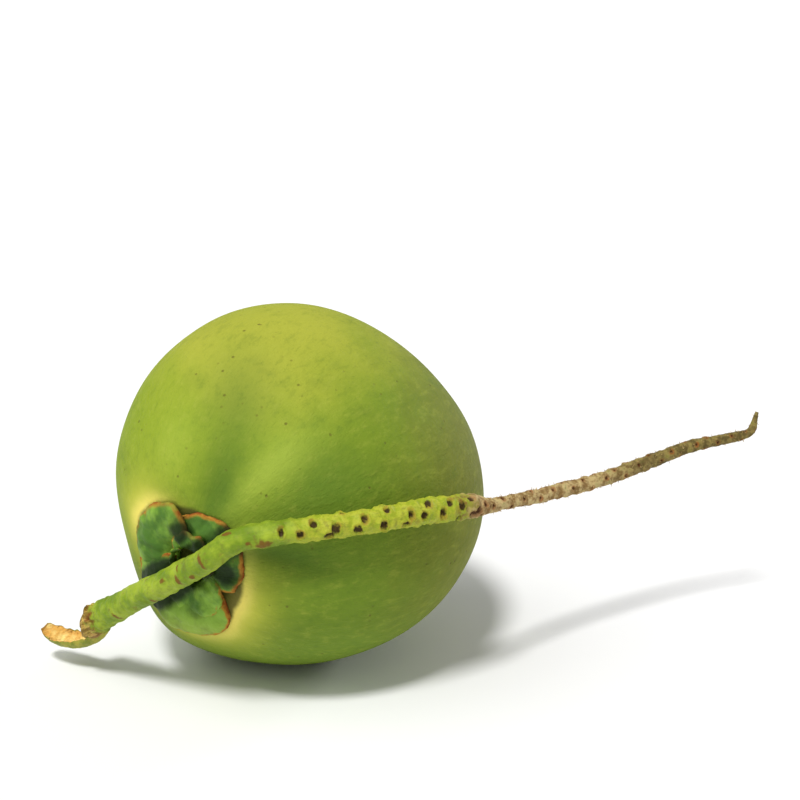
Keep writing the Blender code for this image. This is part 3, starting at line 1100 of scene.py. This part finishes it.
def stalk_guide():
    """The route as a chain of points with the stem's thickness and knobbliness on each."""
    mesh = bpy.data.meshes.new("stalk_guide")
    chain = [(number, number + 1) for number in range(len(stalk_line) - 1)]
    mesh.from_pydata(stalk_line[:, :3].tolist(), chain, [])
    from_end = np.clip(1.0 - stalk_reach / HEEL_ROUND, 0.0, ROUND_END)
    give_numbers(mesh, "thickness", stalk_line[:, 3] * np.sqrt(1.0 - from_end ** 2))
    give_numbers(mesh, "knobbly", np.interp(stalk_reach, KNOBBLY_AT, KNOBBLY))
    guide = bpy.data.objects.new("stalk_guide", mesh)
    bpy.context.scene.collection.objects.link(guide)
    return guide


stem_sizes = {
    "Scars": scar_guide,
    "Ring spacing": 0.00045,
    "Sides": 44,
    "Scar depth": 0.0014,
    "Scar raggedness": 0.0011,
    "Rim height": 0.00052,
    "Rim width": 0.00065,
    "Knob height": 0.0017,
    "Knob size": 0.0048,
    "Material": stalk_bark,
}
stalk_mesh = grown_mesh(stalk_guide(), stem_tree, stem_sizes)
bpy.data.objects.remove(scar_guide, do_unlink=True)
print("stalk:", len(stalk_mesh.polygons), "faces")

# %% [markdown]
# ## The neck
# The fruit hangs from the stalk by a short thick neck, which widens smoothly out of it.
# Pulling the stem's own points towards the fruit, most at the middle and less around it,
# grows the neck without any seam.

# %% Pull the neck out of the stalk
NECK_WIDTH = 0.0075
NECK_PULL = 0.0065
NECK_MIDDLE = 0.0985
NECK_SOFTNESS = 0.006


def pull_neck(mesh):
    points = points_of(mesh)
    axis = np.array(AXES.col[2])
    from_centre = points - np.array(CENTRE)
    along = from_centre @ axis
    beside = np.linalg.norm(from_centre - along[:, None] * axis, axis=1)
    near = np.exp(-((beside / NECK_WIDTH) ** 4))
    facing = np.clip((NECK_MIDDLE - along) / NECK_SOFTNESS, 0.0, 1.0)
    pull = near * facing * NECK_PULL
    move_points(mesh, points - pull[:, None] * axis)
    lowest = (along - pull)[near > 0.5].min()
    print("neck reaches, m from the centre:", round(float(lowest), 4))


pull_neck(stalk_mesh)

# %% [markdown]
# ## Knobs and stains
# Leaves of the bunch and broken side stems left knobs, hollows and brown ring marks on the
# smooth stretch. Each is one row: where it is, how big it is and how high it stands. The
# heel end was torn off at a slant, so it is pulled out on one side and made ragged.

# %% Shape the knobs
# Metres from the heel, degrees up from the outer side, half length, half girth, height.
KNOBS = (
    (0.0035, 78.0, 0.0035, 0.0045, 0.0016),
    (0.0120, 60.0, 0.0030, 0.0040, -0.0012),
    (0.0190, 80.0, 0.0050, 0.0050, 0.0007),
    (0.0100, -60.0, 0.0040, 0.0040, 0.0012),
    (0.0917, -30.0, 0.0020, 0.0060, 0.0005),
    (0.1100, 10.0, 0.0030, 0.0060, 0.0006),
    (0.1390, -45.0, 0.0050, 0.0040, 0.0008),
)


def near_spot(points, reach, angle, half_length, half_girth):
    """One at a spot on the stalk, fading over these lengths, and which way the spot faces."""
    middle, radius, tangent, outward, up = stalk_frame(reach)
    tilt = math.radians(angle)
    facing = outward * math.cos(tilt) + up * math.sin(tilt)
    offset = points - np.array(middle + facing * radius)
    along = offset @ np.array(tangent) / half_length
    girth = offset @ np.array(facing.cross(tangent)) / half_girth
    inward = offset @ np.array(facing) / radius
    return np.exp(-(along ** 2) - girth ** 2 - inward ** 2), np.array(facing)


def shape_knobs(mesh):
    points = points_of(mesh)
    for *spot, height in KNOBS:
        near, facing = near_spot(points, *spot)
        points += near[:, None] * height * facing
    move_points(mesh, points)


# %% Tear the end and stain the stalk
END_SLANT = 0.0066
END_REACH = 0.0060
END_NEAR = 0.03
END_RAGGED = ((0.0022, 0.0022, 0.0), (0.0055, 0.0022, 1.0))
END_SEED = 41.0
# Metres from the heel, degrees up from the outer side, half length and half girth.
STAINS = (
    (0.0130, 30.0, 0.0034, 0.0036),
    (0.0080, -60.0, 0.0036, 0.0036),
    (0.0330, -30.0, 0.0010, 0.0040),
    (0.0640, -50.0, 0.0012, 0.0030),
    (0.0895, -10.0, 0.0016, 0.0036),
    (0.0800, 20.0, 0.0018, 0.0014),
    (0.0990, -30.0, 0.0016, 0.0016),
    (0.0925, 45.0, 0.0010, 0.0026),
    (0.1090, 12.0, 0.0012, 0.0042),
    (0.1245, 62.0, 0.0026, 0.0012),
    (0.1390, -36.0, 0.0046, 0.0022),
    (0.1330, -20.0, 0.0016, 0.0009),
    (0.1150, 190.0, 0.0016, 0.0050),
    (0.0600, 150.0, 0.0016, 0.0040),
)


def tear_end(mesh):
    """Slants the heel end of the stalk and makes it ragged."""
    points = points_of(mesh)
    middle, radius, tangent, outward, up = stalk_frame(0.0)
    offset = points - np.array(middle)
    near = bell(np.maximum(offset @ np.array(tangent), 0.0), 0.0, END_REACH)
    near *= np.linalg.norm(offset, axis=1) < END_NEAR
    slant = -END_SLANT * (offset @ np.array(up)) / radius
    ragged = roughness_of(points, END_RAGGED, END_SEED)
    move_points(mesh, points - (near * (slant + ragged))[:, None] * np.array(tangent))


def stain_stalk(mesh):
    points = points_of(mesh)
    stain = np.zeros(len(points))
    for spot in STAINS:
        stain = np.maximum(stain, near_spot(points, *spot)[0])
    give_numbers(mesh, "stain", stain)


shape_knobs(stalk_mesh)
tear_end(stalk_mesh)
stain_stalk(stalk_mesh)
show("stalk", stalk_mesh, stalk_bark, "fruit_stalk")

# %% [markdown]
# ## Dry fibres
# The dry tail and the torn heel are fuzzy with short fibres. A second tree scatters points
# where a stored number allows it, most where that number is high, and stands one thin
# tapered fibre on each, leaning at random. Each fibre has only a few faces, because there
# are hundreds.


# %% The fibres' tree
def make_fibre_tree():
    sizes = [
        ("Density", "NodeSocketFloat"),
        ("Length", "NodeSocketFloat"),
        ("Thickness", "NodeSocketFloat"),
        ("Lean", "NodeSocketFloat"),
        ("Seed", "NodeSocketInt"),
    ]
    tree, wires = start_tree("grow_fibres", sizes)
    base = wires["Geometry"]
    density = named(tree, "fuzzy") * wires["Density"]
    scatter = {0: base, 4: density, 6: wires["Seed"]}
    points = base.node("GeometryNodeDistributePointsOnFaces", {"distribute_method": "RANDOM"}, scatter)
    normal = Wire(tree, points.socket.node.outputs["Normal"])
    lean = {0: (-1.0, -1.0, -1.0), 1: (1.0, 1.0, 1.0), 8: wires["Seed"]}
    lean = base.node("FunctionNodeRandomValue", {"data_type": "FLOAT_VECTOR"}, lean)
    scale = {"operation": "SCALE"}
    lean = lean.node("ShaderNodeVectorMath", scale, {0: lean, "Scale": wires["Lean"]})
    facing = normal.node("ShaderNodeVectorMath", {"operation": "ADD"}, {0: normal, 1: lean})
    turn = facing.node("FunctionNodeAlignRotationToVector", {"axis": "Z"}, {"Vector": facing})
    cone = {"Vertices": 4, "Radius Top": 0.0, "Radius Bottom": wires["Thickness"], "Depth": wires["Length"]}
    fibre = base.node("GeometryNodeMeshCone", {"fill_type": "TRIANGLE_FAN"}, cone)
    length = {2: 0.35, 3: 1.0, 8: wires["Seed"]}
    length = base.node("FunctionNodeRandomValue", {"data_type": "FLOAT"}, length, 1)
    placed = {"Points": points, "Instance": fibre, "Rotation": turn, "Scale": length}
    fibres = points.node("GeometryNodeInstanceOnPoints", {}, placed)
    end_tree(tree, fibres, wires["Material"])
    return tree


fibre_tree = make_fibre_tree()


# %% Make the fibres' finish
def make_dry_fibre():
    material, tree, shader, place = start_material("dry_fibre")
    blotch = grain(place, 300.0, 3.0, 0.6)
    colour = blend(climb(blotch, 0.38, 0.62), srgb(140, 104, 56), srgb(214, 186, 124))
    finish_material(tree, shader, colour, 0.7 + 0.2 * blotch, grain(place, 1500.0), 0.0002)
    return material


dry_fibre = make_dry_fibre()


# %% Grow the tail's fibres
def grow_fibres(name, mesh, fuzzy, sizes):
    """Fibres on this mesh as a piece of their own, densest where fuzzy is one."""
    copy = mesh.copy()
    give_numbers(copy, "fuzzy", fuzzy)
    guide = bpy.data.objects.new(name + "_guide", copy)
    bpy.context.scene.collection.objects.link(guide)
    fibres = grown_mesh(guide, fibre_tree, sizes)
    print(name + ":", len(fibres.polygons), "faces")
    show(name, fibres, sizes["Material"], "fruit_stalk")


FIBRES_START = 0.252
FIBRES_FADE = 0.008
tail_fibres = {
    "Density": 150000.0,
    "Length": 0.0018,
    "Thickness": 0.00022,
    "Lean": 0.9,
    "Seed": 5,
    "Material": dry_fibre,
}
tail_fuzz = np.clip((numbers_of(stalk_mesh, "reach") - FIBRES_START) / FIBRES_FADE, 0.0, 1.0)
grow_fibres("tail_fibres", stalk_mesh, tail_fuzz, tail_fibres)

# %% [markdown]
# ## The stalk's shadow on the flesh
# Where the stalk lies over the calyx, and in the two hollows beside it, the flesh is in shade,
# so a nearly black painted shadow is put there. A number on each tepal says how deep in this
# painted shadow it is: from its distance to the stalk, and from two soft spots placed round the stem.

# %% Paint the stalk's shadow on the tepals
# How near the stalk the painted shadow is full, where it fades out, and the stretch of stalk that casts it.
SHADOW_NEAR = 0.0110
SHADOW_FAR = 0.0160
COVER_FROM = 0.04
COVER_TO = 0.16
# Two shaded hollows, painted as shadow: degrees round the stem and metres from it, with the spread of each.
SHADED_HOLLOWS = (
    (8.0, 22.0, 0.0200, 0.0095),
    (104.0, 22.0, 0.0180, 0.0070),
)


def paint_stalk_shadow(mesh):
    points = points_of(mesh)
    covering = (stalk_reach > COVER_FROM) & (stalk_reach < COVER_TO)
    cover = stalk_line[covering, :3]
    gaps = np.linalg.norm(points[:, None, :] - cover[None, :, :], axis=2).min(axis=1)
    stalk_shadow = np.clip((SHADOW_FAR - gaps) / (SHADOW_FAR - SHADOW_NEAR), 0.0, 1.0)
    local = (points - np.array(CENTRE)) @ np.array(AXES)
    degrees = np.degrees(np.arctan2(local[:, 1], local[:, 0]))
    distance = np.hypot(local[:, 0], local[:, 1])
    for angle, spread, middle, width in SHADED_HOLLOWS:
        spot = bell(angle_between(degrees, angle), 0.0, spread) * bell(distance, middle, width)
        stalk_shadow = np.maximum(stalk_shadow, spot)
    give_numbers(mesh, "stalk_shadow", stalk_shadow)


for tepal_mesh in tepal_meshes:
    paint_stalk_shadow(tepal_mesh)

# %% [markdown]
# ## The torn heel
# Where the stalk was ripped off the bunch it took a strip of the main stem with it. The
# strip is green skin below and pale torn wood above, thick at the stalk and ragged at
# its tip. A cross-section with a rounded underside and a hollow top, swept along the
# strip's course, gives that shape, and noise roughens the torn face.

# %% Build the heel's splinter
HEEL_ROUTE = (
    (-86.2, -43.0, 29.0, 2.6),
    (-91.5, -39.0, 23.9, 3.9),
    (-98.4, -34.0, 19.4, 4.8),
    (-105.1, -30.0, 17.2, 5.3),
    (-111.8, -26.0, 16.4, 5.2),
    (-117.3, -23.0, 17.2, 4.5),
    (-121.1, -21.0, 18.5, 2.6),
)
HEEL_STEPS = 22
HEEL_SIDES = 64
HEEL_DEPTH = 1.15
HEEL_HOLLOW = 0.50
HEEL_UP_START = Vector((-0.20, 0.25, 0.95))
HEEL_UP_END = Vector((-0.30, -0.38, 0.87))
HEEL_ROUGH = ((0.0016, 0.0007, 0.0), (0.0050, 0.0010, 1.0))
HEEL_SEED = 31.0
SKIN_ROUGH = 0.35
LIP_WIDTH = 0.3
LIP_DEPTH = 0.002
LIP_RAGGED = ((0.0030, 0.0012, 2.0),)


def build_heel():
    line = smooth_route(HEEL_ROUTE, HEEL_STEPS)
    rows = len(line)
    rings = []
    torn = []
    for number, point in enumerate(line):
        before = line[max(number - 1, 0)][:3]
        after = line[min(number + 1, rows - 1)][:3]
        tangent = Vector(after - before).normalized()
        up = HEEL_UP_START.lerp(HEEL_UP_END, number / (rows - 1))
        up = (up - up.dot(tangent) * tangent).normalized()
        side = tangent.cross(up)
        for step in range(HEEL_SIDES):
            turn = 2.0 * math.pi * step / HEEL_SIDES
            width = point[3] * math.cos(turn)
            rise = math.sin(turn)
            top = max(rise, 0.0)
            depth = point[3] * (HEEL_DEPTH * min(rise, 0.0) - HEEL_HOLLOW * top)
            rings.append(Vector(point[:3]) + side * width + up * depth)
            torn.append(top)
    rings = np.array(rings)
    torn = np.array(torn)
    rings[:, 2] += roughness_of(rings, HEEL_ROUGH, HEEL_SEED) * (SKIN_ROUGH + torn)
    lip = bell(torn, 0.0, LIP_WIDTH)
    lip *= rings[:, 2] > np.repeat(line[:, 2], HEEL_SIDES) - LIP_DEPTH
    rings[:, 2] += lip * roughness_of(rings, LIP_RAGGED, HEEL_SEED)
    start = Vector(line[0][:3])
    end = Vector(line[-1][:3])
    points = [tuple(point) for point in rings] + [tuple(start), tuple(end)]
    faces = []
    for row in range(rows - 1):
        for step in range(HEEL_SIDES):
            beside = (step + 1) % HEEL_SIDES
            first = row * HEEL_SIDES
            second = first + HEEL_SIDES
            faces.append((first + step, first + beside, second + beside, second + step))
    last = (rows - 1) * HEEL_SIDES
    for step in range(HEEL_SIDES):
        beside = (step + 1) % HEEL_SIDES
        faces.append((beside, step, len(rings)))
        faces.append((last + step, last + beside, len(rings) + 1))
    mesh = bpy.data.meshes.new("heel_splinter")
    mesh.from_pydata(points, [], faces)
    give_numbers(mesh, "torn", np.concatenate([torn, [0.5, 0.5]]))
    drop_loose(mesh)
    return mesh


# %% Make the torn wood
def make_torn_wood():
    material, tree, shader, place = start_material("torn_wood")
    torn = stored(tree, "torn")
    fibre = grain(stretch(place, (0.35, 0.5, 1.0)), 1500.0, 4.0, 0.6)
    cloud = grain(place, 150.0, 4.0, 0.6)
    blotch = grain(place, 420.0, 4.0, 0.65)
    fibre_brown = srgb(192, 134, 62)
    blotch_brown = srgb(150, 92, 44)
    skin = blend(climb(cloud, 0.38, 0.62), srgb(128, 140, 40), srgb(176, 170, 60))
    wood = blend(climb(cloud, 0.36, 0.62), srgb(224, 172, 84), srgb(248, 222, 140))
    wood = blend(climb(fibre, 0.50, 0.72) * 0.5, wood, fibre_brown)
    wood = blend(climb(blotch, 0.62, 0.74) * 0.5, wood, blotch_brown)
    face = climb(torn + (blotch - 0.5) * 0.5, 0.04, 0.28)
    colour = blend(face, skin, wood)
    roughness = 0.55 + 0.25 * face
    relief = fibre + blotch * 0.5
    finish_material(tree, shader, colour, roughness, relief, 0.0007)
    shader.inputs["Specular IOR Level"].default_value = 0.3
    return material


torn_wood = make_torn_wood()

# %% Place the heel and grow its fibres
LIP_FUZZ = 0.3
LIP_FUZZ_WIDTH = 0.15
BARE_SKIN = 0.05

heel_mesh = build_heel()
show("heel_splinter", heel_mesh, torn_wood, "fruit_stalk")
print("heel:", len(heel_mesh.polygons), "faces")
heel_torn = numbers_of(heel_mesh, "torn")
heel_fibres = {
    "Density": 500000.0,
    "Length": 0.0026,
    "Thickness": 0.00022,
    "Lean": 1.0,
    "Seed": 9,
    "Material": dry_fibre,
}
heel_fuzz = bell(heel_torn, LIP_FUZZ, LIP_FUZZ_WIDTH) * (heel_torn > BARE_SKIN)
grow_fibres("heel_fibres", heel_mesh, heel_fuzz, heel_fibres)

# %% [markdown]
# ## Floor, light and camera
# A pale floor, a soft sun from the front, a wide weak one from the left that fills the
# shadows, and a low one from behind that draws a thin pale rim round the fruit. Suns are
# used because they light a fruit of any size alike. The camera has a long lens and looks
# down a little, so the fruit keeps its true proportions.


# %% Floor
FLOOR_HALF = 7.0


def build_floor():
    mesh = bpy.data.meshes.new("floor")
    half = FLOOR_HALF
    corners = [(-half, -half, 0.0), (half, -half, 0.0), (half, half, 0.0), (-half, half, 0.0)]
    mesh.from_pydata(corners, [], [(0, 1, 2, 3)])
    material = bpy.data.materials.new("floor_paper")
    material.use_nodes = True
    shader = material.node_tree.nodes["Principled BSDF"]
    shader.inputs["Base Color"].default_value = (0.90, 0.90, 0.91, 1.0)
    shader.inputs["Roughness"].default_value = 0.9
    mesh.materials.append(material)
    floor = bpy.data.objects.new("floor", mesh)
    bpy.context.scene.collection.objects.link(floor)


build_floor()


# %% Lights
def add_sun(name, source, angle, strength, colour):
    """A far light of this many degrees across, which shines from the direction of its source."""
    light = bpy.data.lights.new(name, "SUN")
    light.angle = math.radians(angle)
    light.energy = strength
    light.color = colour
    lamp = bpy.data.objects.new(name, light)
    lamp.rotation_euler = Vector(source).to_track_quat("Z", "Y").to_euler()
    bpy.context.scene.collection.objects.link(lamp)


# Where each sun's light comes from, degrees across, strength and colour.
SUNS = (
    ("front_light", (-0.18, -0.50, 1.0), 11.0, 2.4, (1.0, 0.995, 0.98)),
    ("rim_light", (1.0, 0.85, 0.34), 14.0, 0.95, (1.0, 1.0, 0.97)),
    ("left_light", (-1.0, -0.25, 1.15), 50.0, 0.8, (1.0, 0.995, 0.98)),
)
SKY_COLOUR = (1.0, 1.0, 1.0, 1.0)
SKY_STRENGTH = 0.30

for sun in SUNS:
    add_sun(*sun)
print("suns:", len(SUNS))

world = bpy.data.worlds.new("studio")
world.use_nodes = True
sky = world.node_tree.nodes["Background"]
sky.inputs["Color"].default_value = SKY_COLOUR
sky.inputs["Strength"].default_value = SKY_STRENGTH
bpy.context.scene.world = world
bpy.context.scene.view_settings.view_transform = "Standard"

# %% Camera
CAMERA_LENS = 85.0
CAMERA_TILT = 18.0
CAMERA_DISTANCE = 0.945
CAMERA_AIM = Vector((0.0580, 0.0090, 0.1286))

camera_data = bpy.data.cameras.new("camera")
camera_data.lens = CAMERA_LENS
camera_data.sensor_width = 36.0
camera = bpy.data.objects.new("camera", camera_data)
tilt = math.radians(CAMERA_TILT)
camera.location = CAMERA_AIM - CAMERA_DISTANCE * Vector((0.0, math.cos(tilt), -math.sin(tilt)))
camera.rotation_euler = (math.pi / 2.0 - tilt, 0.0, 0.0)
bpy.context.scene.collection.objects.link(camera)
bpy.context.scene.camera = camera
